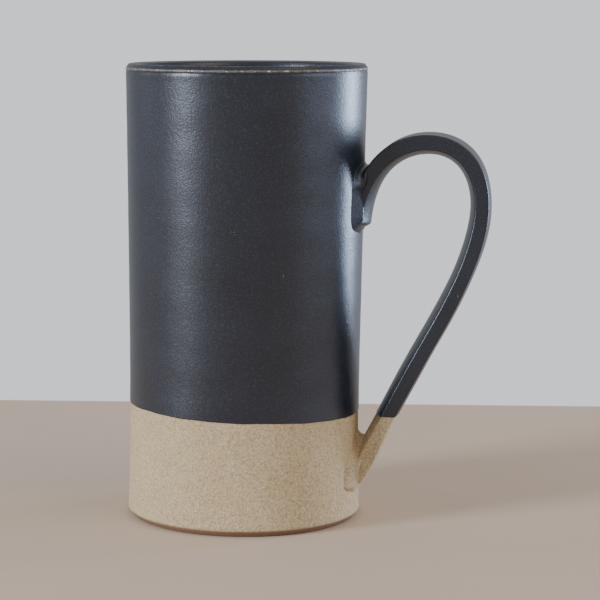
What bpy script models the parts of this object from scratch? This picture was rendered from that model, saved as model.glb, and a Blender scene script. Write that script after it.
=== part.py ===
"""Tall stoneware mug with a strap handle, dipped in dark glaze down to a line above its bare foot.

Frame: the cup stands on z = 0 with its axis on Z, and the handle reaches out along +X. Lengths
are in metres. The pieces are the clay cup, the clay strap, the two layers of slip that lute the
strap to the cup, and the three coats of glaze: liner, outside and handle. Neighbours that touch
on the real mug stand one CLEARANCE apart.
"""

import math

import bmesh
import bpy
from mathutils import Vector
from mathutils.geometry import interpolate_bezier

# Cup: bare clay, without its glaze
CUP_HEIGHT = 0.1511
RIM_RADIUS = 0.03975
WAIST_RADIUS = 0.03835
WAIST_HEIGHT = 0.048
FOOT_RADIUS = 0.0391
FOOT_BEVEL_WIDTH = 0.0015
FOOT_BEVEL_HEIGHT = 0.0017
WALL = 0.0038
FLOOR = 0.0060
FLOOR_CORNER = 0.0085
RIM_EASE = 0.0013

# Handle strap: its section, and its centre line, whose places are heights and distances out
# from the cup's wall at that height
STRAP_WIDTH = 0.0187
STRAP_EDGE = 0.0040
OUTER_CROWN = 0.0007
FINGER_CROWN = 0.0019
TAIL_HEIGHT = 0.0980
TAIL_OUT = -0.0017
ARCH_HEIGHT = 0.1267
ARCH_OUT = 0.0216
REACH_HEIGHT = 0.1058
REACH_OUT = 0.0400
LEG_HEIGHT = 0.0620
LEG_OUT = 0.0246
LEG_LEAN = math.radians(29)
TOE_HEIGHT = 0.0120
TOE_OUT = -0.0017

# Slip that lutes the strap to the cup
SLIP_THICKNESS = 0.0005
SLIP_MARGIN = 0.0028
SLIP_CORNER = 0.0050

# Glaze
COAT = 0.0004
DIP_HEIGHT = 0.0369
DIP_TILT = math.radians(2)
DIP_FALLS_TOWARDS = math.radians(30)
RIM_LAP = 0.0030

CLEARANCE = 0.0003
TURNED_STEPS = 64
ARC_STEPS = 4
CROWN_STEPS = 5
PATH_STEPS = 8

CLAY_COLOUR = (0.50, 0.41, 0.29, 1)
SLIP_COLOUR = (0.40, 0.31, 0.21, 1)
GLAZE_COLOUR = (0.020, 0.024, 0.031, 1)


def clear_scene():
    for old in list(bpy.data.objects):
        bpy.data.objects.remove(old, do_unlink=True)


def new_collection(name):
    collection = bpy.data.collections.new(name)
    bpy.context.scene.collection.children.link(collection)
    return collection


def new_material(name, colour, roughness):
    material = bpy.data.materials.new(name)
    material.use_nodes = True
    shader = material.node_tree.nodes["Principled BSDF"]
    shader.inputs["Base Color"].default_value = colour
    shader.inputs["Roughness"].default_value = roughness
    shader.inputs["Metallic"].default_value = 0
    return material


def arc(centre, radius, start, end, steps=ARC_STEPS):
    """Points of a circular arc from angle start to angle end, both ends included."""
    angles = [start + (end - start) * step / steps for step in range(steps + 1)]
    return [(centre[0] + radius * math.cos(a), centre[1] + radius * math.sin(a)) for a in angles]


def offset(points, distance):
    """The line moved sideways to its left by a distance, with mitred corners."""
    places = [Vector(point) for point in points]
    sides = [(end - start).normalized() for start, end in zip(places, places[1:])]
    moved = []
    for place, arriving, leaving in zip(places, sides[:1] + sides, sides + sides[-1:]):
        left = Vector((-arriving.y, arriving.x))
        normal = Vector((-arriving.y - leaving.y, arriving.x + leaving.x)).normalized()
        moved.append(tuple(place + normal * distance / normal.dot(left)))
    return moved


def outer_radius(height):
    """The clay's outer radius: narrowest at the waist, flaring softly to the foot and the rim."""
    if height < WAIST_HEIGHT:
        return WAIST_RADIUS + (FOOT_RADIUS - WAIST_RADIUS) * (1 - height / WAIST_HEIGHT) ** 2
    rise = (height - WAIST_HEIGHT) / (CUP_HEIGHT - WAIST_HEIGHT)
    return WAIST_RADIUS + (RIM_RADIUS - WAIST_RADIUS) * rise**1.2


def outer_wall(low, high, steps=7):
    """The outer wall's profile from a low to a high edge."""
    heights = [low + (high - low) * step / steps for step in range(steps + 1)]
    return [(outer_radius(height), height) for height in heights]


def rim_line():
    """The rim from its outer shoulder to its inner one, as two eased edges and a narrow flat."""
    shoulder = CUP_HEIGHT - RIM_EASE
    outer = arc((RIM_RADIUS - RIM_EASE, shoulder), RIM_EASE, 0, math.pi / 2)
    inner = arc((RIM_RADIUS - WALL + RIM_EASE, shoulder), RIM_EASE, math.pi / 2, math.pi)
    return outer + inner


def inside_line(top):
    """The inside from a height on its wall down to the axis on the floor."""
    radius = outer_radius(WAIST_HEIGHT) - WALL
    centre = (radius - FLOOR_CORNER, FLOOR + FLOOR_CORNER)
    corner = arc(centre, FLOOR_CORNER, 0, -math.pi / 2)
    middle = (outer_radius((CUP_HEIGHT + WAIST_HEIGHT) / 2) - WALL, (CUP_HEIGHT + WAIST_HEIGHT) / 2)
    return [(RIM_RADIUS - WALL, top), middle] + corner + [(0, FLOOR)]


def turned(name, profile, collection, closed=False):
    """An object turned about Z from a profile of (radius, height) points."""
    mesh = bpy.data.meshes.new(name)
    count = len(profile)
    edges = [(index, index + 1) for index in range(count - 1)]
    if closed:
        edges.append((count - 1, 0))
    mesh.from_pydata([(radius, 0, height) for radius, height in profile], edges, [])
    turned_object = bpy.data.objects.new(name, mesh)
    collection.objects.link(turned_object)
    screw = turned_object.modifiers.new("Turn", "SCREW")
    screw.axis = "Z"
    screw.steps = TURNED_STEPS
    screw.render_steps = TURNED_STEPS
    screw.use_merge_vertices = True
    screw.merge_threshold = 0.00001
    screw.use_smooth_shade = True
    return turned_object


def wall_sleeve(name, low, high, inner, outer, collection):
    """A turned sleeve that follows the cup's outer wall, between two distances from the clay."""
    wall = outer_wall(low, high)
    near = [(radius + inner, height) for radius, height in wall]
    far = [(radius + outer, height) for radius, height in wall]
    return turned(name, near + far[::-1], collection, closed=True)


def wall_core(name, outer, collection):
    """Everything within a distance of the cup's outer wall, to cut what seats against it."""
    wall = [(radius + outer, height) for radius, height in outer_wall(-FLOOR, CUP_HEIGHT)]
    return turned(name, [(0, CUP_HEIGHT)] + wall[::-1] + [(0, -FLOOR)], collection)


def meshed(curve_object, collection):
    """The curve as a mesh object with its caps welded on."""
    graph = bpy.context.evaluated_depsgraph_get()
    name = curve_object.name
    mesh = bpy.data.meshes.new_from_object(curve_object.evaluated_get(graph))
    work = bmesh.new()
    work.from_mesh(mesh)
    bmesh.ops.remove_doubles(work, verts=work.verts, dist=0.000001)
    bmesh.ops.recalc_face_normals(work, faces=work.faces)
    work.to_mesh(mesh)
    work.free()
    matrix = curve_object.matrix_world.copy()
    bpy.data.objects.remove(curve_object, do_unlink=True)
    mesh_object = bpy.data.objects.new(name, mesh)
    mesh_object.matrix_world = matrix
    collection.objects.link(mesh_object)
    mesh.shade_smooth()
    mesh.set_sharp_from_angle(angle=math.radians(35))
    return mesh_object


def poly_curve(name, points, collection):
    """A closed flat curve through (x, y) points."""
    curve = bpy.data.curves.new(name, "CURVE")
    curve.dimensions = "2D"
    spline = curve.splines.new("POLY")
    spline.points.add(len(points) - 1)
    for point, (x, y) in zip(spline.points, points):
        point.co = (x, y, 0, 1)
    spline.use_cyclic_u = True
    curve_object = bpy.data.objects.new(name, curve)
    collection.objects.link(curve_object)
    return curve_object


def strap_section(grow):
    """The strap's outline across: flat side faces between a low outer and a full finger crown."""
    half_width = STRAP_WIDTH / 2 + grow
    half_edge = STRAP_EDGE / 2 + grow

    def crown(height, sign):
        steps = [2 * step / CROWN_STEPS - 1 for step in range(CROWN_STEPS + 1)]
        return [(sign * (half_edge + height * (1 - t * t)), sign * t * half_width) for t in steps]

    return crown(FINGER_CROWN, 1) + crown(OUTER_CROWN, -1)


def strap_nodes(grow):
    """The centre line's curve nodes: place, direction, and handle lengths before and after."""
    leg = Vector((-math.sin(LEG_LEAN), -math.cos(LEG_LEAN)))

    def place(out, height):
        return Vector((outer_radius(height) + out, height))

    return [
        (place(TAIL_OUT, TAIL_HEIGHT) - Vector((0, grow)), Vector((0, 1)), 0.0130, 0.0130),
        (place(ARCH_OUT, ARCH_HEIGHT), Vector((1, 0)), 0.0157, 0.0110),
        (place(REACH_OUT, REACH_HEIGHT), Vector((0, -1)), 0.0127, 0.0136),
        (place(LEG_OUT, LEG_HEIGHT), leg, 0.0138, 0.0157),
        (place(TOE_OUT, TOE_HEIGHT) + grow * leg, leg, 0.0119, 0.0119),
    ]


def strap(name, grow, collection):
    """The whole strap swept along its centre line, both ends running into the cup's wall."""
    nodes = strap_nodes(grow)
    section = poly_curve(name + "_section", strap_section(grow), collection)
    curve = bpy.data.curves.new(name, "CURVE")
    curve.dimensions = "3D"
    curve.twist_mode = "Z_UP"
    curve.resolution_u = PATH_STEPS
    curve.bevel_mode = "OBJECT"
    curve.bevel_object = section
    curve.use_fill_caps = True
    spline = curve.splines.new("BEZIER")
    spline.bezier_points.add(len(nodes) - 1)
    for point, (place, direction, before, after) in zip(spline.bezier_points, nodes):
        point.handle_left_type = "FREE"
        point.handle_right_type = "FREE"
        point.co = place.to_3d()
        point.handle_left = (place - before * direction).to_3d()
        point.handle_right = (place + after * direction).to_3d()
    path = bpy.data.objects.new(name, curve)
    collection.objects.link(path)
    path.rotation_euler.x = math.pi / 2
    bpy.context.view_layer.update()
    swept = meshed(path, collection)
    bpy.data.objects.remove(section, do_unlink=True)
    return swept


def touching_heights(start, end, side_offsets):
    """Lowest and highest touch on the slip of the faces this far to the left of one curve span."""
    (first, leaving, _, reach), (last, arriving, back, _) = start, end
    controls = (first, first + reach * leaving, last - back * arriving, last)
    line = [point.to_2d() for point in interpolate_bezier(*[c.to_3d() for c in controls], 200)]
    heights = [line[0].y, line[-1].y]
    touching = []
    for here, after in zip(line, line[1:]):
        along = (after - here).normalized()
        for side_offset in side_offsets:
            face = here + side_offset * Vector((-along.y, along.x))
            if face.x <= outer_radius(face.y) + CLEARANCE + SLIP_THICKNESS:
                touching.append(face.y)
    inside = [height for height in touching if height >= min(heights) - SLIP_MARGIN]
    return min(inside), max(inside)


def seat_outline(name, seat, grow, collection):
    """A rounded plate facing the cup along X, as wide as the strap and its margin, to cut with."""
    low, high = seat
    middle = (low + high) / 2
    half_width = STRAP_WIDTH / 2 + SLIP_MARGIN + grow
    half_length = (high - low) / 2 + SLIP_MARGIN + grow
    radius = SLIP_CORNER + grow
    across = half_width - radius
    along = half_length - radius
    quarter = math.pi / 2
    points = []
    for turn, (side, end) in enumerate(((1, 1), (-1, 1), (-1, -1), (1, -1))):
        points += arc((side * across, end * along), radius, turn * quarter, (turn + 1) * quarter)
    plate = poly_curve(name, points, collection)
    plate.data.fill_mode = "BOTH"
    plate.data.extrude = 0.008
    plate.rotation_euler = (math.pi / 2, 0, math.pi / 2)
    plate.location = (outer_radius(middle), 0, middle)
    bpy.context.view_layer.update()
    return meshed(plate, collection)


def cut(target, cutter, operation="DIFFERENCE"):
    boolean = target.modifiers.new(operation.title() + " " + cutter.name, "BOOLEAN")
    boolean.operation = operation
    boolean.object = cutter


def make_cutter(cutter):
    cutter.hide_render = True
    cutter.display_type = "WIRE"


def below_the_dip(collection):
    """A block whose upper face is the tilted glaze line; it takes off the coats below it."""
    side = 0.3
    bpy.ops.mesh.primitive_cube_add(size=side)
    block = bpy.context.object
    block.name = "below_the_dip"
    for owner in list(block.users_collection):
        owner.objects.unlink(block)
    collection.objects.link(block)
    block.rotation_euler = (0, DIP_TILT, DIP_FALLS_TOWARDS)
    down = block.rotation_euler.to_matrix() @ Vector((0, 0, -side / 2))
    block.location = Vector((0, 0, DIP_HEIGHT)) + down
    return block


def finish(piece, material):
    piece.data.materials.clear()
    piece.data.materials.append(material)


clear_scene()
mug = new_collection("stoneware_mug")
cutters = new_collection("cutters")
clay = new_material("buff_stoneware", CLAY_COLOUR, 0.9)
slip = new_material("joining_slip", SLIP_COLOUR, 0.9)
glaze = new_material("satin_dark_glaze", GLAZE_COLOUR, 0.42)

# Where the two ends of the strap sit on the cup, as their lowest and highest touch
tail, arch, _, leg_middle, toe = strap_nodes(0)
outer_face = STRAP_EDGE / 2 + OUTER_CROWN
finger_face = -STRAP_EDGE / 2 - FINGER_CROWN
upper_seat = touching_heights(tail, arch, [outer_face])
lower_seat = touching_heights(leg_middle, toe, [outer_face, finger_face])

# The clay cup
foot = [
    (outer_radius(0), FOOT_BEVEL_HEIGHT),
    (outer_radius(0) - FOOT_BEVEL_WIDTH, 0),
    (0, 0),
]
inner_shoulder = CUP_HEIGHT - RIM_EASE
cup_profile = inside_line(inner_shoulder - RIM_EASE)[::-1] + rim_line()[::-1]
cup_profile += outer_wall(WAIST_HEIGHT / 4, inner_shoulder - RIM_EASE)[::-1] + foot
cup_body = turned("cup_body", cup_profile, mug)
finish(cup_body, clay)

# The clay strap, cut to sit on the slip
slip_face = CLEARANCE + SLIP_THICKNESS
strap_seat = wall_core("strap_seat", slip_face + CLEARANCE, cutters)
handle_strap = strap("handle_strap", 0, mug)
cut(handle_strap, strap_seat)
finish(handle_strap, clay)

# The slip under each end of the strap
for name, seat in (("upper", upper_seat), ("lower", lower_seat)):
    low = seat[0] - 2 * SLIP_MARGIN
    high = seat[1] + 2 * SLIP_MARGIN
    slip_joint = wall_sleeve("slip_joint_" + name, low, high, CLEARANCE, slip_face, mug)
    cut(slip_joint, seat_outline(name + "_seat", seat, 0, cutters), "INTERSECT")
    finish(slip_joint, slip)

# The glaze poured inside the cup
coat_face = CLEARANCE + COAT
lap_end = CUP_HEIGHT - RIM_LAP
liner_line = inside_line(lap_end - CLEARANCE)
liner_profile = offset(liner_line, -coat_face)[::-1] + offset(liner_line, -CLEARANCE)
glaze_liner = turned("glaze_liner", liner_profile, mug)
finish(glaze_liner, glaze)

# The glaze that the cup is dipped in, outside and over the rim
below = below_the_dip(cutters)
dip_line = outer_wall(WAIST_HEIGHT / 2, inner_shoulder - RIM_EASE) + rim_line()
dip_line.append((RIM_RADIUS - WALL, lap_end))
dip_profile = offset(dip_line, -CLEARANCE) + offset(dip_line, -coat_face)[::-1]
glaze_outside = turned("glaze_outside", dip_profile, mug, closed=True)
cut(glaze_outside, below)
cut(glaze_outside, seat_outline("window", upper_seat, coat_face + CLEARANCE, cutters))
finish(glaze_outside, glaze)

# The same dip on the handle and over its upper slip
pad_low = upper_seat[0] - 2 * SLIP_MARGIN
pad_high = upper_seat[1] + 2 * SLIP_MARGIN
glaze_handle = strap("glaze_handle", coat_face, mug)
strap_room = strap("strap_room", CLEARANCE, cutters)
layers = (("skin", coat_face, -0.002, glaze_handle), ("core", CLEARANCE, -0.004, strap_room))
for name, grow, inner_face, target in layers:
    pad = wall_sleeve(name + "_pad", pad_low, pad_high, inner_face, slip_face + grow, cutters)
    outline = seat_outline(name + "_outline", upper_seat, grow, cutters)
    cut(pad, outline, "INTERSECT")
    cut(target, pad, "UNION")
cut(glaze_handle, strap_room)
cut(glaze_handle, wall_core("coat_seat", CLEARANCE, cutters))
cut(glaze_handle, below)
finish(glaze_handle, glaze)

for cutter in cutters.objects:
    make_cutter(cutter)
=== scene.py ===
"""A tall stoneware mug with a strap handle, dipped in satin dark glaze down to a line above its foot.

It is put together as a potter does it: the thrown cup, the strap, the slip that lutes the strap on,
then the glaze poured inside, and the glaze that cup and handle are dipped in.
"""

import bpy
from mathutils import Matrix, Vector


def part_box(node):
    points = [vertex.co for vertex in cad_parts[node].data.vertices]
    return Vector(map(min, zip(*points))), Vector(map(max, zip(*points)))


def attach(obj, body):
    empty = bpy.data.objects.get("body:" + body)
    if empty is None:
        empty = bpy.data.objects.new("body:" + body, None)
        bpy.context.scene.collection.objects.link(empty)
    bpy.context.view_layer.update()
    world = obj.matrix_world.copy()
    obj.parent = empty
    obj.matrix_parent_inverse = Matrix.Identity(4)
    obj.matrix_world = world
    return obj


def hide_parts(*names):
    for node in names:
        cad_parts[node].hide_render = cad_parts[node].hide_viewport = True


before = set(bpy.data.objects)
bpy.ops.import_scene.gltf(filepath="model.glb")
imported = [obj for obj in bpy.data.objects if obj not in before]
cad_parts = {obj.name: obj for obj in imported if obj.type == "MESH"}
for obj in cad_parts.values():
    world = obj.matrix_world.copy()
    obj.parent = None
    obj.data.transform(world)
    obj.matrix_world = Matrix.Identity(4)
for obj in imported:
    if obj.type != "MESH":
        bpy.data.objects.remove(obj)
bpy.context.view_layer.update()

import math

import bpy
import numpy as np
from mathutils import Matrix, Vector


# Cup. A thrown and trimmed cylinder of buff stoneware with a softly flared rim and foot. The foot's
# edge is bevelled, the underside is trimmed slightly hollow, and the clay stays bare at the bottom.

MM = 0.001
cup_low, cup_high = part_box("cup_body")
CUP_HEIGHT = cup_high.z
RIM_RADIUS = cup_high.x
WAIST_RADIUS = 38.35 * MM
WAIST_HEIGHT = 48 * MM
FOOT_RADIUS = 39.1 * MM
WALL = 3.8 * MM
FLOOR = 6.0 * MM
FLOOR_CORNER = 8.5 * MM
FOOT_BEVEL = (1.8 * MM, 2.2 * MM)
RIM_EDGE_DROP = 1.2 * MM
RIM_CREST_INSET = 0.8 * MM
RIM_TOP = CUP_HEIGHT - 4.5 * MM
RIM_SLANT = 0.0092
SLANT_ZONE = (CUP_HEIGHT - 40 * MM, CUP_HEIGHT - 4 * MM)
RING_DEPTH = 0.014 * MM
# Painted shade: the foot's bevel is painted dark brown, fading out above it, for the shade where it
# turns down from the light.
BEVEL_SHADE_INNER = 37 * MM
BEVEL_SHADE_FADE = (1.4 * MM, 2.6 * MM)
BEVEL_SHADE_SHARE = 0.85
AROUND = 300

turn = np.linspace(0, 2 * np.pi, AROUND, endpoint=False)


def ease(value, low, high):
    """A smooth step from 0 at low to 1 at high, as three squares less two cubes."""
    share = np.clip((value - low) / (high - low), 0, 1)
    return share * share * (3 - 2 * share)


def wall_radius(height):
    """The clay's outer radius: a square law flares it below the waist, a weak power law above."""
    fall = np.clip(1 - height / WAIST_HEIGHT, 0, None)
    rise = np.clip((height - WAIST_HEIGHT) / (CUP_HEIGHT - WAIST_HEIGHT), 0, None)
    foot_flare, rim_flare = FOOT_RADIUS - WAIST_RADIUS, RIM_RADIUS - WAIST_RADIUS
    return WAIST_RADIUS + foot_flare * fall**2 + rim_flare * rise**1.2


def soften(corners, spacing, softness):
    """An open line through corners, resampled evenly and blurred along its length by a Gaussian.

    The blur runs on odd reflections past both ends, so the end points stay where they are.
    """
    corners = np.asarray(corners, float)
    along = np.concatenate([[0], np.cumsum(np.hypot(*np.diff(corners, axis=0).T))])
    count = int(round(along[-1] / spacing)) + 1
    places = np.linspace(0, along[-1], count)
    line = np.stack([np.interp(places, along, corners[:, axis]) for axis in (0, 1)], axis=1)
    reach = int(4 * softness / spacing)
    weights = np.exp(-0.5 * (np.arange(-reach, reach + 1) * spacing / softness) ** 2)
    padded = np.pad(line, ((reach, reach), (0, 0)), mode="reflect", reflect_type="odd")
    return np.stack([np.convolve(side, weights / weights.sum(), "valid") for side in padded.T], axis=1)


def rim_profile():
    """The rim as a softened line of corners.

    From the outer wall it dips into a faint groove, turns the proud outer edge, slants up to the
    crest, and comes down inside.
    """
    edge = CUP_HEIGHT - RIM_EDGE_DROP
    crest = RIM_RADIUS - RIM_CREST_INSET
    inner = RIM_RADIUS - WALL
    corners = [
        (wall_radius(RIM_TOP), RIM_TOP),
        (RIM_RADIUS, edge - 1.5 * MM),
        (RIM_RADIUS - 0.14 * MM, edge - 0.75 * MM),
        (RIM_RADIUS + 0.12 * MM, edge),
        (RIM_RADIUS - 0.30 * MM, CUP_HEIGHT - 0.55 * RIM_EDGE_DROP),
        (crest, CUP_HEIGHT + 0.15 * MM),
        (crest - 1.0 * MM, CUP_HEIGHT - 0.05 * MM),
        (inner + 0.5 * MM, CUP_HEIGHT - 0.35 * MM),
        (inner, CUP_HEIGHT - 1.6 * MM),
        (inner, RIM_TOP),
    ]
    return soften(corners, 0.12 * MM, 0.20 * MM)


def offset(profile, distance):
    """The profile moved to the left of its own direction by a distance, or by one for each point."""
    along = np.gradient(profile, axis=0)
    left = np.stack([-along[:, 1], along[:, 0]], axis=1)
    left /= np.linalg.norm(left, axis=1, keepdims=True)
    return profile + left * np.reshape(distance, (-1, 1))


def turned(profile):
    """Rows of points, one row for each point of a (radius, height) profile turned about the axis.

    The hands leave the turning a little oval and lightly ringed, and the rim stands on a slant.
    """
    radius, height = profile[:, :1], profile[:, 1:]
    oval = 0.05 * MM * np.sin(2 * turn + 0.6) + 0.02 * MM * np.sin(3 * turn + 2.0)
    drift = height / MM + 1.5 * np.sin(turn + 0.5)
    rings = RING_DEPTH * (np.sin(drift / 1.9) + 0.7 * np.sin(drift / 3.7 + 1))
    radius = radius + (oval + rings) * ease(radius, 0, 30 * MM)
    x, y = radius * np.cos(turn), radius * np.sin(turn)
    slant = RIM_SLANT * x * ease(height, *SLANT_ZONE)
    return np.stack([x, y, height + slant], axis=2)


def skin(name, shells, marks=None):
    """A closed mesh from grids of points, each row a ring.

    A shell is (grid, closing): "loop" joins the last ring to the first, and "poles" closes each end
    on a single point at the middle of its ring. Faces are quads between neighbouring rings. A shell
    that comes out with a negative volume is turned the right way round. marks are values painted on
    the first points of the mesh, for the finish to read; the points after them get 0.
    """
    points, quads, tris, start = [], [], [], 0
    for grid, closing in shells:
        rows, columns = grid.shape[:2]
        index = start + np.arange(rows * columns).reshape(rows, columns)
        below = index if closing == "loop" else index[:-1]
        above = np.roll(index, -1, axis=0) if closing == "loop" else index[1:]
        quad = np.stack([below, np.roll(below, -1, 1), np.roll(above, -1, 1), above], axis=2)
        quad = quad.reshape(-1, 4)
        places = [grid.reshape(-1, 3)]
        tri = np.zeros((0, 3), int)
        if closing == "poles":
            places += [grid[:1].mean(axis=1), grid[-1:].mean(axis=1)]
            low_pole, high_pole = start + rows * columns, start + rows * columns + 1
            ring, end = index[0], index[-1]
            low = np.stack([np.roll(ring, -1), ring, np.full(columns, low_pole)], axis=1)
            high = np.stack([end, np.roll(end, -1), np.full(columns, high_pole)], axis=1)
            tri = np.concatenate([low, high])
        places = np.concatenate(places)
        halves = np.concatenate([quad[:, [0, 1, 2]], quad[:, [0, 2, 3]], tri]) - start
        first, second, third = (places[halves[:, corner]] for corner in range(3))
        if np.einsum("ij,ij->", first, np.cross(second, third)) < 0:
            quad, tri = quad[:, ::-1], tri[:, ::-1]
        points.append(places)
        quads.append(quad)
        tris.append(tri)
        start += len(places)
    mesh = bpy.data.meshes.new(name)
    faces = np.concatenate(quads).tolist() + np.concatenate(tris).tolist()
    mesh.from_pydata(np.concatenate(points), [], faces)
    mesh.polygons.foreach_set("use_smooth", np.ones(len(faces), bool))
    for mark, values in (marks or {}).items():
        layer = mesh.attributes.new(mark, "FLOAT", "POINT")
        filled = np.zeros(start, np.float32)
        filled[: len(values)] = values
        layer.data.foreach_set("value", filled)
    mesh.update()
    piece = bpy.data.objects.new(name, mesh)
    bpy.context.scene.collection.objects.link(piece)
    return piece


class Signal:
    """A value in a finish's node tree. Arithmetic on it adds Math nodes."""

    def __init__(self, finish, socket):
        self.finish = finish
        self.socket = socket

    def math(self, operation, first, second):
        node = self.finish.node("ShaderNodeMath", {"operation": operation}, {0: first, 1: second})
        return Signal(self.finish, node.outputs[0])

    def __add__(self, other):
        return self.math("ADD", self, other)

    def __mul__(self, other):
        return self.math("MULTIPLY", self, other)

    __radd__ = __add__
    __rmul__ = __mul__


class Finish:
    """A material built from nodes around one Principled shader."""

    def __init__(self, name, **constants):
        self.material = bpy.data.materials.new(name)
        self.material.use_nodes = True
        self.tree = self.material.node_tree
        self.shader = self.tree.nodes["Principled BSDF"]
        for socket, value in constants.items():
            self.shader.inputs[socket.replace("_", " ")].default_value = value
        self.place = self.node("ShaderNodeTexCoord").outputs["Object"]

    def node(self, kind, settings=None, inputs=None):
        """Adds a node: its settings first, then a value or a link for each named socket."""
        made = self.tree.nodes.new(kind)
        for setting, value in (settings or {}).items():
            setattr(made, setting, value)
        for socket, value in (inputs or {}).items():
            self.feed(made.inputs[socket], value)
        return made

    def feed(self, socket, value):
        value = getattr(value, "socket", value)
        if isinstance(value, bpy.types.NodeSocket):
            self.tree.links.new(value, socket)
        else:
            socket.default_value = value

    def noise(self, size, detail=2.0, stretch=(1, 1, 1), shift=0.0):
        """Cloudy noise from 0 to 1 whose features are about this long, in metres."""
        scale = tuple(part / size for part in stretch)
        mapped = self.node("ShaderNodeMapping", None,
                           {"Vector": self.place, "Scale": scale, "Location": (shift, shift, shift)})
        cloud = self.node("ShaderNodeTexNoise", {"noise_dimensions": "3D"},
                          {"Vector": mapped.outputs[0], "Scale": 1.0, "Detail": detail})
        return Signal(self, cloud.outputs["Fac"])

    def spots(self, spacing, radius, share, shift=0.0):
        """Round spots of a radius, a spacing apart, on this share of the places that could have one."""
        mapped = self.node("ShaderNodeMapping", None,
                           {"Vector": self.place, "Location": (shift, shift, shift)})
        cells = self.node("ShaderNodeTexVoronoi", None,
                          {"Vector": mapped.outputs[0], "Scale": 1 / spacing})
        drawn = self.node("ShaderNodeSeparateColor", None, {0: cells.outputs["Color"]})
        chosen = self.step(Signal(self, drawn.outputs[0]), 1 - share - 0.001, 1 - share)
        apart = Signal(self, cells.outputs["Distance"])
        return chosen * self.step(apart, radius / spacing, 0.5 * radius / spacing)

    def near(self, place, size):
        """1 within half this size of a place, fading to 0 at the whole of it."""
        apart = self.node("ShaderNodeVectorMath", {"operation": "DISTANCE"},
                          {0: self.place, 1: place})
        return self.step(Signal(self, apart.outputs["Value"]), size, 0.5 * size)

    def step(self, value, low, high):
        """A smooth step of a value, from 0 at low to 1 at high."""
        ramp = self.node("ShaderNodeMapRange", {"interpolation_type": "SMOOTHSTEP"},
                         {"Value": value, "From Min": low, "From Max": high})
        return Signal(self, ramp.outputs[0])

    def mark(self, name):
        """A value painted on the piece's points, or 0 where the piece has none."""
        return Signal(self, self.node("ShaderNodeAttribute", {"attribute_name": name}).outputs["Fac"])

    def mix(self, share, first, second):
        """One colour turning into another as the share goes from 0 to 1."""
        node = self.node("ShaderNodeMix", {"data_type": "RGBA"}, {0: share, 6: first, 7: second})
        return node.outputs[2]

    def colour(self, value):
        self.feed(self.shader.inputs["Base Color"], value)

    def roughness(self, value):
        self.feed(self.shader.inputs["Roughness"], value)

    def relief(self, *layers):
        """Bumps from (height signal, depth in metres) layers, each laid on the one before."""
        normal = None
        for height, depth in layers:
            bump = self.node("ShaderNodeBump", None, {"Height": height, "Distance": depth})
            if normal:
                self.feed(bump.inputs["Normal"], normal)
            normal = bump.outputs[0]
        self.feed(self.shader.inputs["Normal"], normal)


def bare_stoneware(name, tint):
    """Unglazed buff stoneware: sandy, with pale grog, tan grains, a few iron spots and a dry grain, and
    painted shade, a dark brown, where a piece marks its foot's bevel.
    """
    clay = Finish(name, IOR=1.45, Specular_IOR_Level=0.3)
    cloud = clay.noise(14 * MM, 3)
    grain = clay.noise(0.42 * MM, 3)
    sand = clay.noise(0.9 * MM, 3, shift=3.1)
    body = clay.mix(clay.step(cloud, 0.3, 0.7), (0.53, 0.39, 0.213, 1), (0.57, 0.435, 0.25, 1))
    body = clay.mix(clay.step(sand, 0.42, 0.66) * 0.65, body, (0.35, 0.25, 0.13, 1))
    body = clay.mix(clay.step(grain, 0.48, 0.68) * 0.8, body, (0.78, 0.64, 0.42, 1))
    body = clay.mix(clay.spots(1.9 * MM, 0.20 * MM, 0.5) * 0.5, body, (0.25, 0.17, 0.105, 1))
    body = clay.mix(clay.spots(15 * MM, 0.42 * MM, 0.18, 5.0), body, (0.09, 0.06, 0.04, 1))
    # Painted shade: where the bevel is marked, the clay is painted dark brown.
    body = clay.mix(clay.mark("painted_bevel_shade"), body, (0.19, 0.10, 0.058, 1))
    clay.colour(clay.node("ShaderNodeMix", {"data_type": "RGBA", "blend_type": "MULTIPLY"},
                          {0: 1.0, 6: body, 7: tint}).outputs[2])
    clay.roughness(0.82 + 0.14 * grain)
    clay.relief((sand, 0.08 * MM), (grain, 0.08 * MM))
    return clay.material


def foot_profile():
    """From the middle of the underside out to the bevel, and up to where the wall begins."""
    bevel_width, bevel_height = FOOT_BEVEL
    corners = [
        (26 * MM, 0.35 * MM),
        (30 * MM, 0.0),
        (FOOT_RADIUS - bevel_width, 0.0),
        (FOOT_RADIUS, bevel_height),
        (wall_radius(5 * MM), 5 * MM),
    ]
    return soften(corners, 0.2 * MM, 0.28 * MM)


def cup_profile():
    """The whole wall: underside, foot, outside, rim, inside, and the floor to its middle."""
    underside = np.stack([np.linspace(0.5, 25.5, 14) * MM, np.full(14, 0.35 * MM)], axis=1)
    heights = np.linspace(5 * MM, RIM_TOP, 62)[1:-1]
    outside = np.stack([wall_radius(heights), heights], axis=1)
    corner_radius = WAIST_RADIUS - WALL - FLOOR_CORNER
    fall = heights[heights > FLOOR + FLOOR_CORNER][::-1]
    start = RIM_RADIUS - WALL
    share = (RIM_TOP - fall) / (RIM_TOP - FLOOR - FLOOR_CORNER)
    inside = np.stack([start + (corner_radius + FLOOR_CORNER - start) * share, fall], axis=1)
    bend = np.linspace(0, np.pi / 2, 14)
    corner = np.stack([corner_radius + FLOOR_CORNER * np.cos(bend),
                       FLOOR + FLOOR_CORNER * (1 - np.sin(bend))], axis=1)
    floor = np.stack([np.linspace(corner_radius, 0.5 * MM, 16)[1:], np.full(15, FLOOR)], axis=1)
    return np.concatenate([underside, foot_profile(), outside, rim_profile(), inside, corner, floor])


profile = cup_profile()
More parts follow.
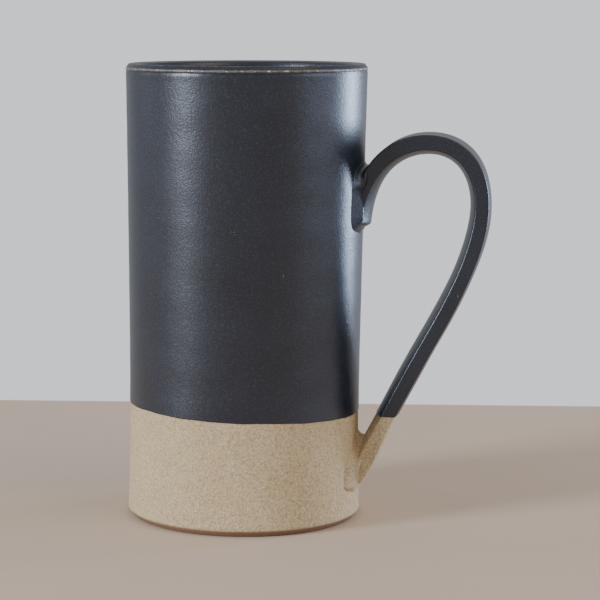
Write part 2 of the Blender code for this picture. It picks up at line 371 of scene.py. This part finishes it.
# The painted shade on the foot's bevel, marked for the clay finish to paint dark brown.
on_bevel = (1 - ease(profile[:, 1], *BEVEL_SHADE_FADE)) * (profile[:, 0] > BEVEL_SHADE_INNER)
clay_cup = skin("clay_cup", [(turned(profile), "poles")],
                {"painted_bevel_shade": np.repeat(BEVEL_SHADE_SHARE * on_bevel, AROUND)})
clay_cup.data.materials.append(bare_stoneware("cup_stoneware", (1, 1, 1, 1)))
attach(clay_cup, "root")
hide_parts("cup_body")


# Strap. A pulled strap of the same clay, flatter outside and fuller where the fingers go. It leaves
# the cup near the top, arches over, and runs down a long leg to land just above the foot.

strap_low, strap_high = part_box("handle_strap")
STRAP_HALF = (strap_high.y - strap_low.y) / 2
STRAP_EDGE = 4.0 * MM
OUTER_CROWN = 0.75 * MM
FINGER_CROWN = 1.9 * MM
FINGER_SWELL = 0.6 * MM
ARCH_SWELL = 0.5 * MM
TOE_SWELL = 1.0 * MM
FLAT_ZONE = (50 * MM, 84 * MM)
FINGER_ZONE = (4 * MM, 26 * MM)
ARCH_RISE = (12 * MM, 34 * MM)
ARCH_FALL = (46 * MM, 76 * MM)
TOE_ZONE = (32 * MM, 12 * MM)
HEEL_END = 2.9 * MM
HEEL_ROUND = 8.5 * MM
TAIL = 98.0 * MM
TAIL_SINK = 1.7 * MM
ARCH_OUT = 21.6 * MM
REACH_HEIGHT = 105.8 * MM
LEG_HEIGHT = 62.0 * MM
LEG_OUT = 24.6 * MM
LEG_LEAN = math.radians(29)
TOE_HEIGHT = 12.0 * MM
TOE_SINK = 1.7 * MM
TOE_OVERRUN = 4.0 * MM
TAIL_ROUND = 2.0 * MM
TAIL_BLUNT = 0.4 * MM
TOE_CORNER = 5.0 * MM
TAIL_CORNER = 3.2 * MM
BITE = 1.0 * MM
LINES = 210


def strap_path():
    """Arc length, centre line (x, z) and outward direction along the strap, from tail to toe.

    The centre line is four cubic Bezier spans through five nodes, each with its direction and reaches.
    """
    depth = STRAP_EDGE / 2 + OUTER_CROWN
    arch_height = strap_high.z - depth
    lean = (-math.sin(LEG_LEAN), -math.cos(LEG_LEAN))
    toe = (wall_radius(TOE_HEIGHT) - TOE_SINK, TOE_HEIGHT)
    nodes = [
        ((wall_radius(TAIL) - TAIL_SINK, TAIL), (0, 1), 0, 13.0 * MM),
        ((wall_radius(arch_height) + ARCH_OUT, arch_height), (1, 0), 15.7 * MM, 11.0 * MM),
        ((strap_high.x - depth, REACH_HEIGHT), (0, -1), 12.7 * MM, 13.6 * MM),
        ((wall_radius(LEG_HEIGHT) + LEG_OUT, LEG_HEIGHT), lean, 13.8 * MM, 15.7 * MM),
        (toe, lean, 11.9 * MM, 0),
    ]
    share = np.linspace(0, 1, 200)[:, None]
    spans = []
    for (start, leaving, _, reach), (end, arriving, back, _) in zip(nodes, nodes[1:]):
        start, end = np.array(start), np.array(end)
        first, second = start + reach * np.array(leaving), end - back * np.array(arriving)
        spans.append((1 - share) ** 3 * start + 3 * share * (1 - share) ** 2 * first
                     + 3 * share**2 * (1 - share) * second + share**3 * end)
    spans.append(np.array(toe) + TOE_OVERRUN * share * np.array(lean))
    line = np.concatenate([spans[0]] + [span[1:] for span in spans[1:]])
    along = np.concatenate([[0], np.cumsum(np.hypot(*np.diff(line, axis=0).T))])
    even = np.linspace(0, along[-1], 1200)
    line = np.stack([np.interp(even, along, line[:, axis]) for axis in (0, 1)], axis=1)
    ahead = np.gradient(line, axis=0)
    ahead /= np.linalg.norm(ahead, axis=1, keepdims=True)
    return even, line, np.stack([-ahead[:, 1], ahead[:, 0]], axis=1)


PATH_LENGTHS, PATH_LINE, PATH_OUT = strap_path()


def blurred(values, rounds):
    """A closed run of values, blurred along itself this many times."""
    for _ in range(rounds):
        values = (np.roll(values, 1, 0) + 2 * values + np.roll(values, -1, 0)) / 4
    return values


def strap_outline():
    """The section (depth, width) and its outward normals, evenly spaced round the strap.

    Two shallow parabolas, low outside and fuller towards the fingers, are joined by flat sides, and
    a short periodic blur takes the sharpness off the four corners.
    """
    across = np.linspace(-1, 1, 60)
    outer = np.stack([STRAP_EDGE / 2 + OUTER_CROWN * (1 - across**2), -across * STRAP_HALF], axis=1)
    finger = np.stack([-STRAP_EDGE / 2 - FINGER_CROWN * (1 - across**2), across * STRAP_HALF],
                      axis=1)
    corners = np.concatenate([outer, finger, outer[:1]])
    along = np.concatenate([[0], np.cumsum(np.hypot(*np.diff(corners, axis=0).T))])
    even = np.linspace(0, along[-1], 4 * LINES, endpoint=False)
    line = np.stack([np.interp(even, along, corners[:, axis]) for axis in (0, 1)], axis=1)
    line = blurred(line, 11)[::4]
    ahead = np.roll(line, -1, 0) - np.roll(line, 1, 0)
    normals = np.stack([-ahead[:, 1], ahead[:, 0]], axis=1)
    normals /= np.linalg.norm(normals, axis=1, keepdims=True)
    return line, normals * np.sign(np.sum(normals * line, axis=1, keepdims=True))


OUTLINE, OUTLINE_NORMALS = strap_outline()
BULGE = np.sign(OUTLINE[:, 0]) * np.clip(1 - (OUTLINE[:, 1] / STRAP_HALF) ** 2, 0, 1)


def strap_at(along, grow=0.0, turned_by=0.0):
    """Points of the strap's surface: the outline carried along the centre line.

    along is a grid of arc lengths, one column for each line of the outline. grow thickens the
    section along its normals. turned_by shifts the columns round the outline by a fraction of one
    line. Smooth steps along the strap flatten its outer crown and fill out the finger side by the
    tail, and thicken the arch and the toe. Quarter ellipses round off the tail, in depth and in
    width, the heel behind the toe, and the toe's corners. Slow sines leave the waver of the hand.
    """
    shift = (np.arange(LINES) + turned_by) % LINES
    ring = np.arange(LINES + 1)
    length = PATH_LENGTHS[-1]

    def column(values):
        return np.interp(shift, ring, np.append(values, values[0]))

    def quarter(share):
        return np.sqrt(np.clip(1 - (1 - np.clip(share, 0, 1)) ** 2, 0, 1))

    depth = column(OUTLINE[:, 0]) + grow * column(OUTLINE_NORMALS[:, 0])
    width = column(OUTLINE[:, 1]) + grow * column(OUTLINE_NORMALS[:, 1])
    bulge = column(BULGE)
    flatter = OUTER_CROWN * (1 - ease(along, *FLAT_ZONE))
    fuller = FINGER_SWELL * (1 - ease(along, *FINGER_ZONE))
    outside = np.clip(depth / STRAP_EDGE + 0.5, 0, 1)
    thicker = ARCH_SWELL * ease(along, *ARCH_RISE) * (1 - ease(along, *ARCH_FALL))
    thicker = thicker + TOE_SWELL * ease(along, length - TOE_ZONE[0], length - TOE_ZONE[1])
    depth = depth - flatter * np.clip(bulge, 0, None) + fuller * np.clip(bulge, None, 0)
    heel = np.where(depth > 0, quarter((length - HEEL_END - along) / HEEL_ROUND), 1)
    depth = (depth + thicker * outside) * heel
    waver = 0.012 * np.sin(along / (9 * MM)) + 0.008 * np.sin(along / (4.1 * MM))
    from_tail = along + grow
    depth = depth * quarter(from_tail / TAIL_ROUND) * (1 + waver)
    narrow = quarter((from_tail + TAIL_BLUNT) / TAIL_CORNER)
    narrow = narrow * quarter((length + grow - along) / TOE_CORNER)
    width = width * narrow * (1 + 0.004 * np.sin(along / (13 * MM) + 1))
    x = np.interp(along, PATH_LENGTHS, PATH_LINE[:, 0])
    z = np.interp(along, PATH_LENGTHS, PATH_LINE[:, 1]) - np.clip(-along, 0, None)
    out_x = np.interp(along, PATH_LENGTHS, PATH_OUT[:, 0])
    out_z = np.interp(along, PATH_LENGTHS, PATH_OUT[:, 1])
    return np.stack([x + depth * out_x, width, z + depth * out_z], axis=-1)


def crossings(outside, scan):
    """For each column of a scan, the arc length where its value leaves the positive side.

    outside is the grid of values and scan the arc length of each row, both running from the free
    part of the strap towards one end.
    """
    row = np.argmax(outside < 0, axis=0)
    column = np.arange(outside.shape[1])
    before, after = outside[row - 1, column], outside[row, column]
    return scan[row - 1] + (scan[row] - scan[row - 1]) * before / (before - after)


MIDWAY = 0.45 * PATH_LENGTHS[-1]
to_tail = np.linspace(MIDWAY, 0, 900)
to_toe = np.linspace(MIDWAY, PATH_LENGTHS[-1], 900)


def height_off_wall(points, grow=0.0):
    """How far points lie outside the cup's wall, or outside a coat on it that is grow thick."""
    return np.hypot(points[..., 0], points[..., 1]) - wall_radius(points[..., 2]) - grow


def where_strap_meets(scan, level, grow=0.0):
    """The arc length at which each line of the strap comes down to a level above the cup's skin."""
    points = strap_at(np.repeat(scan[:, None], LINES, axis=1), grow)
    return crossings(height_off_wall(points, grow) - level, scan)


def between(start, end, shares):
    """Arc lengths from start to end of each line, at shares of the way."""
    return start + (end - start) * shares[:, None]


shares = np.linspace(0, 1, 360)
strap_rows = between(where_strap_meets(to_tail, -BITE), where_strap_meets(to_toe, -BITE), shares)
clay_strap = skin("clay_strap", [(strap_at(strap_rows), "poles")])
# The strap's copy of the clay is tinted cooler than the cup's, a painted tone that offsets the warm
# bounce light in its shade.
clay_strap.data.materials.append(bare_stoneware("strap_stoneware", (0.92, 0.95, 1.0, 1)))
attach(clay_strap, "root")
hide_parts("handle_strap")


# Slip. Thick joining slip is wiped into a fillet round each end of the strap. Up at the tail it is a
# broad slope, kept low for the glaze to lie over it. Down at the toe it is bare and spreads into a
# fishtail.

JOINT_POINTS = 260
JOINT_BLUR = 3
FILLET_BLUR = 12
FILLET_ROWS = 18
FILLET_DEPTH = 0.7 * MM
TOP_SUNK = 0.12 * MM
TOP_CURVE = 36 * MM
FOOT_LIFT = 0.06 * MM
UPPER_GROW = -0.25 * MM
FISHTAIL_ZONE = (22 * MM, 16.5 * MM)


def joint_line(scan, grow):
    """The closed line where strap and cup meet, and the strap's normal along it, evenly spaced.

    The tail tapers to nothing, so over its rounded end the normal is taken a little further up the
    strap, and turns downwards towards the very end.
    """
    along = where_strap_meets(scan, 0, grow)
    step = 0.05 * MM
    line = strap_at(along, grow)
    full = np.maximum(along, TAIL_ROUND)
    lengthways = strap_at(full + step, grow) - strap_at(full - step, grow)
    sideways = strap_at(full, grow, 0.25) - strap_at(full, grow, -0.25)
    normal = np.cross(lengthways, sideways)
    middle = np.stack([np.interp(full, PATH_LENGTHS, PATH_LINE[:, 0]), np.zeros(LINES),
                       np.interp(full, PATH_LENGTHS, PATH_LINE[:, 1])], axis=1)
    normal *= np.sign(np.sum(normal * (strap_at(full, grow) - middle), axis=1, keepdims=True))
    normal /= np.linalg.norm(normal, axis=1, keepdims=True)
    whole = ease(along, 0.3 * MM, TAIL_ROUND)[:, None]
    normal = whole * normal + (1 - whole) * np.array([0, 0, -1])
    loop = np.concatenate([line, line[:1]])
    length = np.concatenate([[0], np.cumsum(np.linalg.norm(np.diff(loop, axis=0), axis=1))])
    even = np.linspace(0, length[-1], JOINT_POINTS, endpoint=False)
    line = np.stack([np.interp(even, length, side) for side in loop.T], axis=1)
    loop = np.concatenate([normal, normal[:1]])
    normal = np.stack([np.interp(even, length, side) for side in loop.T], axis=1)
    line, normal = blurred(line, JOINT_BLUR), blurred(normal, JOINT_BLUR)
    return line, normal / np.linalg.norm(normal, axis=1, keepdims=True)


def fillet(scan, grow, spread, climb, fill):
    """A closed fillet round a joint: a face from the strap down onto the cup, and a hidden back.

    Across the joint the face is a quadratic Bezier that starts climb up the strap and ends spread
    out on the cup. Its middle handle lies fill of the way from the joint line to the chord, so the
    face is hollow below 1, flat at 1 and rolls over above 1. All three are functions of the height
    and of how far the fillet faces upwards there, from -1 to 1.
    """
    line, strap_normal = joint_line(scan, grow)
    outwards = np.stack([line[:, 0], line[:, 1], np.zeros(len(line))], axis=1)
    wall_normal = outwards / np.linalg.norm(outwards, axis=1, keepdims=True)
    ahead = np.roll(line, -1, 0) - np.roll(line, 1, 0)
    ahead /= np.linalg.norm(ahead, axis=1, keepdims=True)
    up_strap = np.cross(ahead, strap_normal)
    up_strap *= np.sign(np.sum(up_strap * wall_normal, axis=1, keepdims=True))
    over_cup = np.cross(ahead, wall_normal)
    over_cup *= np.sign(np.sum(over_cup * strap_normal, axis=1, keepdims=True))
    height = line[:, 2]
    upwards = blurred(over_cup, FILLET_BLUR)[:, 2]
    rise, reach = climb(height, upwards)[:, None], spread(height, upwards)[:, None]
    top = line + rise * up_strap - (TOP_SUNK + rise**2 / TOP_CURVE) * strap_normal
    foot = line + reach * over_cup
    top, foot = blurred(top, FILLET_BLUR), blurred(foot, FILLET_BLUR)
    radius = np.hypot(foot[:, 0], foot[:, 1])
    level = (wall_radius(foot[:, 2]) + grow + FOOT_LIFT) / radius
    foot = foot * np.stack([level, level, np.ones(len(foot))], axis=1)
    share = np.linspace(0, 1, FILLET_ROWS)[:, None, None]
    middle = line + fill(height, upwards)[:, None] * ((top + foot) / 2 - line)
    face = (1 - share) ** 2 * top + 2 * share * (1 - share) * middle + share**2 * foot
    back = [foot - FILLET_DEPTH * wall_normal,
            line - FILLET_DEPTH * (wall_normal + strap_normal),
            top - FILLET_DEPTH * strap_normal]
    return np.concatenate([face, np.stack(back)])


def tail_spread(height, upwards):
    """How far the upper fillet spreads on the cup: wide at the sides, little under the tip."""
    return MM * (4.5 - 2.7 * ease(-upwards, 0.4, 0.9))


def tail_climb(height, upwards):
    """How far the upper fillet climbs the strap: most in the crotch above."""
    return MM * (2.3 + 2.3 * np.clip(upwards, 0, 1) - 1.2 * np.clip(-upwards, 0, 1))


def tail_fill(height, upwards):
    """The upper fillet is a plain slope down the sides, and hollow in the crotch above."""
    return 1.0 - 0.5 * ease(upwards, 0.0, 0.8)


def fishtail(height, upwards):
    """How much of the fishtail there is: all of it low down at the sides, none under the toe."""
    return ease(height, *FISHTAIL_ZONE) * (1 - ease(-upwards, 0.1, 0.6))


def toe_spread(height, upwards):
    """The lower fillet fills the crotch, thins out down the sides and fans into a fishtail."""
    return MM * (1.3 + 4.8 * fishtail(height, upwards) + 5.4 * np.clip(upwards, 0, 1) ** 4)


def toe_climb(height, upwards):
    """How far the lower fillet climbs the strap: most in the crotch, some over the fishtail."""
    return MM * (1.3 + 1.1 * fishtail(height, upwards) + 5.4 * np.clip(upwards, 0, 1) ** 3)


def toe_fill(height, upwards):
    """The lower fillet is a low roll down the sides and round the fishtail, hollow in the crotch."""
    return 1.6 - 1.0 * ease(upwards, 0.1, 0.7)


# The slip's copy of the clay is tinted cooler too, a painted tone that offsets the warm bounce light in
# its shade.
slip_stoneware = bare_stoneware("slip_stoneware", (0.93, 0.95, 0.98, 1))
for name, node, scan, grow, shape in (
    ("upper_slip", "slip_joint_upper", to_tail, UPPER_GROW, (tail_spread, tail_climb, tail_fill)),
    ("lower_slip", "slip_joint_lower", to_toe, 0.0, (toe_spread, toe_climb, toe_fill)),
):
    slip = skin(name, [(fillet(scan, grow, *shape), "loop")])
    slip.data.materials.append(slip_stoneware)
    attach(slip, "root")
    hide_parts(node)


# Glaze. One satin, blue-black glaze. It is first poured inside and out again, then cup and handle
# are dipped upside down together, so its edge is one slanting line round the cup and the strap.

COAT = 0.25 * MM
SUNK = 0.04 * MM
LINE_HEIGHT = 36.86 * MM
LINE_SLOPES = (-0.0294, -0.0180)
EDGE_ROUND = 0.32 * MM
PITS = (
    ((1.5 * MM, -39.0 * MM, 100.2 * MM), 0.55 * MM),
    ((1.8 * MM, -39.0 * MM, 99.5 * MM), 0.62 * MM),
    ((2.2 * MM, -39.0 * MM, 98.7 * MM), 0.55 * MM),
    ((2.4 * MM, -39.0 * MM, 98.0 * MM), 0.40 * MM),
)


def glaze_line(x, y):
    """Height of the dipped glaze's edge: a slanting plane, with the small waver of a real edge."""
    angle = np.arctan2(y, x)
    waver = 0.10 * np.sin(5 * angle + 1) + 0.06 * np.sin(11 * angle + 2.2)
    waver = waver + 0.04 * np.sin(23 * angle)
    return LINE_HEIGHT + LINE_SLOPES[0] * x + LINE_SLOPES[1] * y + waver * MM


def rounded_edge(from_edge):
    """How much of its thickness the coat has this far above its edge: a quarter circle."""
    return np.sqrt(1 - (1 - np.clip(from_edge / EDGE_ROUND, 0, 1)) ** 2)


def satin_dark_glaze():
    """Satin blue-black glaze: cloudy, finely pebbled, pinholed and scuffed in patches.

    It breaks brown, and in places bare, where it is thin. Along the rim's crest the lighter break is
    also a painted highlight, and the groove under the rim's edge is painted almost black as painted
    shade.
    """
    glaze = Finish("satin_dark_glaze", IOR=1.6)
    cloud = glaze.noise(16 * MM, 3)
    pebble = glaze.noise(1.3 * MM, 2)
    fine = glaze.noise(0.6 * MM, 3, shift=2.0)
    colour = glaze.mix(glaze.step(cloud, 0.3, 0.7), (0.0078, 0.0104, 0.0185, 1),
                       (0.0105, 0.0142, 0.0240, 1))
    colour = glaze.mix(glaze.step(fine, 0.48, 0.75) * 0.6, colour, (0.036, 0.047, 0.064, 1))
    # The thin mark is thin glaze at the rim's outer edge and the strap's edges; along the rim's crest
    # it is partly thin glaze and partly a painted highlight.
    thin = glaze.mark("thin")
    patchy = glaze.noise(1.8 * MM, 3, shift=7.0)
    broken = glaze.step(thin * 0.75 + patchy * 0.8, 0.80, 1.12)
    colour = glaze.mix(broken, colour, (0.135, 0.118, 0.102, 1))
    chipped = glaze.noise(0.8 * MM, 2, shift=9.0)
    bare = glaze.step(thin * 0.7 + chipped * 0.8, 1.13, 1.22)
    colour = glaze.mix(bare, colour, (0.70, 0.66, 0.60, 1))
    # Painted shade: the groove under the rim's outer edge is painted almost black, ragged along its
    # length.
    streaky = glaze.noise(1.5 * MM, 2, shift=4.0)
    groove_painted_shade = glaze.step(glaze.mark("groove") * 0.7 + streaky, 0.85, 1.15)
    colour = glaze.mix(groove_painted_shade, colour, (0.002, 0.002, 0.003, 1))
    pinholes = glaze.spots(11 * MM, 0.26 * MM, 0.45)
    for place, size in PITS:
        pinholes = pinholes + glaze.near(place, size)
    colour = glaze.mix(pinholes, colour, (0.003, 0.003, 0.004, 1))
    scuffed = glaze.step(glaze.noise(24 * MM, 1, shift=1.7), 0.60, 0.68)
    scuffs = scuffed * glaze.step(glaze.noise(0.8 * MM, 2, (1, 1, 0.35), 6.0), 0.70, 0.76)
    crumbs = glaze.spots(7 * MM, 0.15 * MM, 0.30, shift=0.013)
    colour = glaze.mix(crumbs * 0.7 + scuffs * 0.6, colour, (0.22, 0.22, 0.23, 1))
    glaze.colour(colour)
    glaze.roughness(0.24 + 0.08 * cloud + 0.08 * fine + 0.18 * broken)
    glaze.relief((cloud, 0.14 * MM), (pebble, 0.03 * MM), (fine, 0.055 * MM),
                 (pinholes, -0.2 * MM))
    return glaze.material


glaze = satin_dark_glaze()


def coat_finish(piece, node):
    """Glazes a piece and ties it to its place in the frame."""
    piece.data.materials.append(glaze)
    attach(piece, "root")
    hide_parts(node)


# Glaze inside. It lines the cup from the floor to just under the rim.

LINER_COAT = 0.8 * COAT
LINER_DROP = 1.5 * MM

below_rim = len(profile) - np.argmax(profile[::-1, 1] > CUP_HEIGHT - LINER_DROP)
lining = profile[below_rim:]
from_top = np.concatenate([[0], np.cumsum(np.hypot(*np.diff(lining, axis=0).T))])
front = offset(lining, -LINER_COAT * rounded_edge(from_top))
lining_rings = np.concatenate([offset(lining, SUNK)[::-1], front])
inside_glaze = skin("inside_glaze", [(turned(lining_rings), "poles")])
coat_finish(inside_glaze, "glaze_liner")


# Glaze outside. The dipped coat from the glaze line up the wall, over the rim and a little way down
# inside. It breaks brown along the rim's outer edge and crest, the crest's lighter line partly a
# painted highlight, and the groove below is painted dark as painted shade.

OPEN_RIM_POINTS = 12

up_wall = np.concatenate([np.linspace(0, 0.012, 12), np.linspace(0.012, 1, 96)[1:-1]])
heights = LINE_HEIGHT + (RIM_TOP - LINE_HEIGHT) * up_wall
wall = np.stack([wall_radius(heights), heights], axis=1)
dipped = np.concatenate([wall, rim_profile()[:-OPEN_RIM_POINTS]])
length = np.concatenate([[0], np.cumsum(np.hypot(*np.diff(dipped, axis=0).T))])
lift = COAT * rounded_edge(length) * rounded_edge(length[-1] - length)
rings = np.concatenate([offset(dipped, -lift), offset(dipped, SUNK)[::-1]])
grid = turned(rings)
falls = glaze_line(grid[..., 0], grid[..., 1]) - LINE_HEIGHT
hangs = np.clip((RIM_TOP - grid[..., 2]) / (RIM_TOP - LINE_HEIGHT), 0, 1)
grid[..., 2] += falls * hangs


def near_ring(radius, height, reach):
    """1 on the ring of this radius and height, falling off as a Gaussian of the distance from it."""
    return np.exp(-(((rings[:, 0] - radius) ** 2 + (rings[:, 1] - height) ** 2) / reach**2))


edge_height = CUP_HEIGHT - RIM_EDGE_DROP
on_edge = near_ring(RIM_RADIUS + COAT, edge_height, 0.6 * MM)
# Along the crest the lighter break stands partly for thin glaze and partly for a painted highlight on
# the crest's rounding.
crest_highlight_band = near_ring(RIM_RADIUS - 1.2 * RIM_CREST_INSET, CUP_HEIGHT + 0.2 * MM, 0.6 * MM)
# The band under the rim's edge where the groove is painted dark, as painted shade.
groove_shade_band = near_ring(RIM_RADIUS, edge_height - 0.95 * MM, 0.4 * MM)
marks = {"thin": np.repeat(on_edge + 0.9 * crest_highlight_band, AROUND), "groove": np.repeat(groove_shade_band, AROUND)}
outside_glaze = skin("outside_glaze", [(grid, "loop")], marks)
coat_finish(outside_glaze, "glaze_outside")


# Glaze on the handle. The same coat over the strap and over the upper fillet, breaking a little along
# the strap's four edges. Its rows crowd together towards the slanting line on the leg, where the last
# ones follow its rounded edge.

EDGE_THIN = 0.45


def above_line(points):
    """How far points lie above the glaze's edge."""
    return points[..., 2] - glaze_line(points[..., 0], points[..., 1])


scan_points = strap_at(np.repeat(to_toe[:, None], LINES, axis=1), COAT)
line_ends = crossings(above_line(scan_points), to_toe)
coat_starts = where_strap_meets(to_tail, -BITE, COAT)
closer = 1 - (1 - np.linspace(0, 1, 300)) ** 1.15
coat_rows = between(coat_starts, line_ends, closer)
edge_rows = line_ends - EDGE_ROUND * (1 - np.linspace(0, 1, 10)[1:])[:, None]
keep = coat_rows.max(axis=1) < (line_ends - EDGE_ROUND).min()
near_rows = between(coat_rows[keep][-1], line_ends - EDGE_ROUND, np.linspace(0, 1, 8)[1:])
coat_rows = np.concatenate([coat_rows[keep], near_rows, edge_rows])
coat_grow = (COAT + SUNK) * rounded_edge(line_ends - coat_rows) - SUNK
back_rows = between(line_ends, coat_starts, np.linspace(0, 1, 110))
coat = np.concatenate([strap_at(coat_rows, coat_grow), strap_at(back_rows, -SUNK)])
edge_turn = 1 - np.abs(np.sum(OUTLINE_NORMALS * np.roll(OUTLINE_NORMALS, 3, 0), axis=1))
edge_turn = np.roll(edge_turn, -1) / edge_turn.max()
on_edges = np.tile(EDGE_THIN * edge_turn, len(coat))
over_slip = fillet(to_tail, COAT, tail_spread, tail_climb, tail_fill)
handle_glaze = skin("handle_glaze", [(coat, "loop"), (over_slip, "loop")], {"thin": on_edges})
coat_finish(handle_glaze, "glaze_handle")


# Studio. A plain pale table whose far edge passes behind the mug, and a pale surround. Soft windows
# stand behind on the right and in front on the left, three broad dim lights stand for the rest of
# the room, and the camera looks slightly down from a little above the rim.

CAMERA_PLACE = (105.45 * MM, -703.85 * MM, 171.5 * MM)
CAMERA_TURN = math.radians(7.041)
CAMERA_DIP = math.radians(7.926)
CAMERA_ROLL = math.radians(0.619)
CAMERA_LENS = 128.21
CAMERA_BEARING = CAMERA_TURN + math.radians(1.5)
SURROUND_SEEN = 1.0
SURROUND_LIGHT = 0.53
TABLE_BEHIND = 197 * MM
TABLE_SIZE = 2.4
TABLE_THICK = 20 * MM


def table_finish():
    """Pale matt table top with the faintest mottling."""
    top = Finish("pale_table", Specular_IOR_Level=0.2)
    top.colour(top.mix(top.noise(60 * MM, 3), (0.62, 0.475, 0.35, 1), (0.66, 0.515, 0.39, 1)))
    top.roughness(0.7)
    return top.material


away = Vector((-math.sin(CAMERA_TURN), math.cos(CAMERA_TURN), 0))
right = Vector((away.y, -away.x, 0))
table = bpy.data.meshes.new("table")
corners = []
for back, side in ((1, 1), (1, -1), (0, -1), (0, 1)):
    reach = TABLE_BEHIND if back else TABLE_BEHIND - TABLE_SIZE
    corners.append(away * reach + right * (side * TABLE_SIZE / 2))
top = [tuple(corner) for corner in corners]
under = [(x, y, -TABLE_THICK) for x, y, _ in top]
sides = [(i, i + 4, (i + 1) % 4 + 4, (i + 1) % 4) for i in range(4)]
table.from_pydata(top + under, [], [(0, 1, 2, 3), (7, 6, 5, 4)] + sides)
floor = bpy.data.objects.new("table", table)
bpy.context.scene.collection.objects.link(floor)
table.materials.append(table_finish())

world = bpy.data.worlds.new("surround")
bpy.context.scene.world = world
world.use_nodes = True
backdrop = world.node_tree.nodes["Background"]
backdrop.inputs["Color"].default_value = (0.94, 0.96, 1.0, 1)
seen = world.node_tree.nodes.new("ShaderNodeLightPath")
level = world.node_tree.nodes.new("ShaderNodeMapRange")
level.inputs["To Min"].default_value = SURROUND_LIGHT
level.inputs["To Max"].default_value = SURROUND_SEEN
world.node_tree.links.new(seen.outputs["Is Camera Ray"], level.inputs["Value"])
world.node_tree.links.new(level.outputs[0], backdrop.inputs["Strength"])


def window(name, bearing, rise, distance, width, height, power, colour):
    """A soft rectangular light facing the mug.

    Its bearing and rise, in degrees, are measured about the mug, the bearing from the camera and
    positive to the right. Sizes are in metres and the power in watts.
    """
    lamp = bpy.data.lights.new(name, "AREA")
    lamp.shape = "RECTANGLE"
    lamp.size, lamp.size_y = width, height
    lamp.energy = power
    lamp.color = colour
    light = bpy.data.objects.new(name, lamp)
    bpy.context.scene.collection.objects.link(light)
    turned_by = CAMERA_BEARING + math.radians(bearing)
    lifted_by = math.radians(rise)
    level = math.cos(lifted_by)
    target = Vector((0, 0, CUP_HEIGHT / 2))
    way = Vector((math.sin(turned_by) * level, -math.cos(turned_by) * level, math.sin(lifted_by)))
    light.location = target + way * distance
    light.rotation_euler = (-way).to_track_quat("-Z", "Y").to_euler()


window("right_window", 116, 2, 1.6, 0.5, 0.62, 24, (0.60, 0.74, 1.0))
window("left_window", -61, 16, 1.8, 0.42, 0.8, 34, (0.74, 0.84, 1.0))
window("room_right", 72, 12, 2.0, 1.4, 0.8, 11, (0.56, 0.71, 1.0))
window("room_above", 50, 45, 2.0, 1.2, 1.0, 7, (1.0, 0.8, 0.55))
window("room_left", -105, 12, 2.0, 0.7, 0.8, 2.3, (0.8, 0.87, 1.0))

lens = bpy.data.cameras.new("camera")
lens.lens = CAMERA_LENS
camera = bpy.data.objects.new("camera", lens)
bpy.context.scene.collection.objects.link(camera)
facing = Matrix.Rotation(CAMERA_TURN, 3, "Z") @ Matrix.Rotation(math.pi / 2 - CAMERA_DIP, 3, "X")
camera.location = CAMERA_PLACE
camera.rotation_euler = (facing @ Matrix.Rotation(CAMERA_ROLL, 3, "Z")).to_euler()
bpy.context.scene.camera = camera
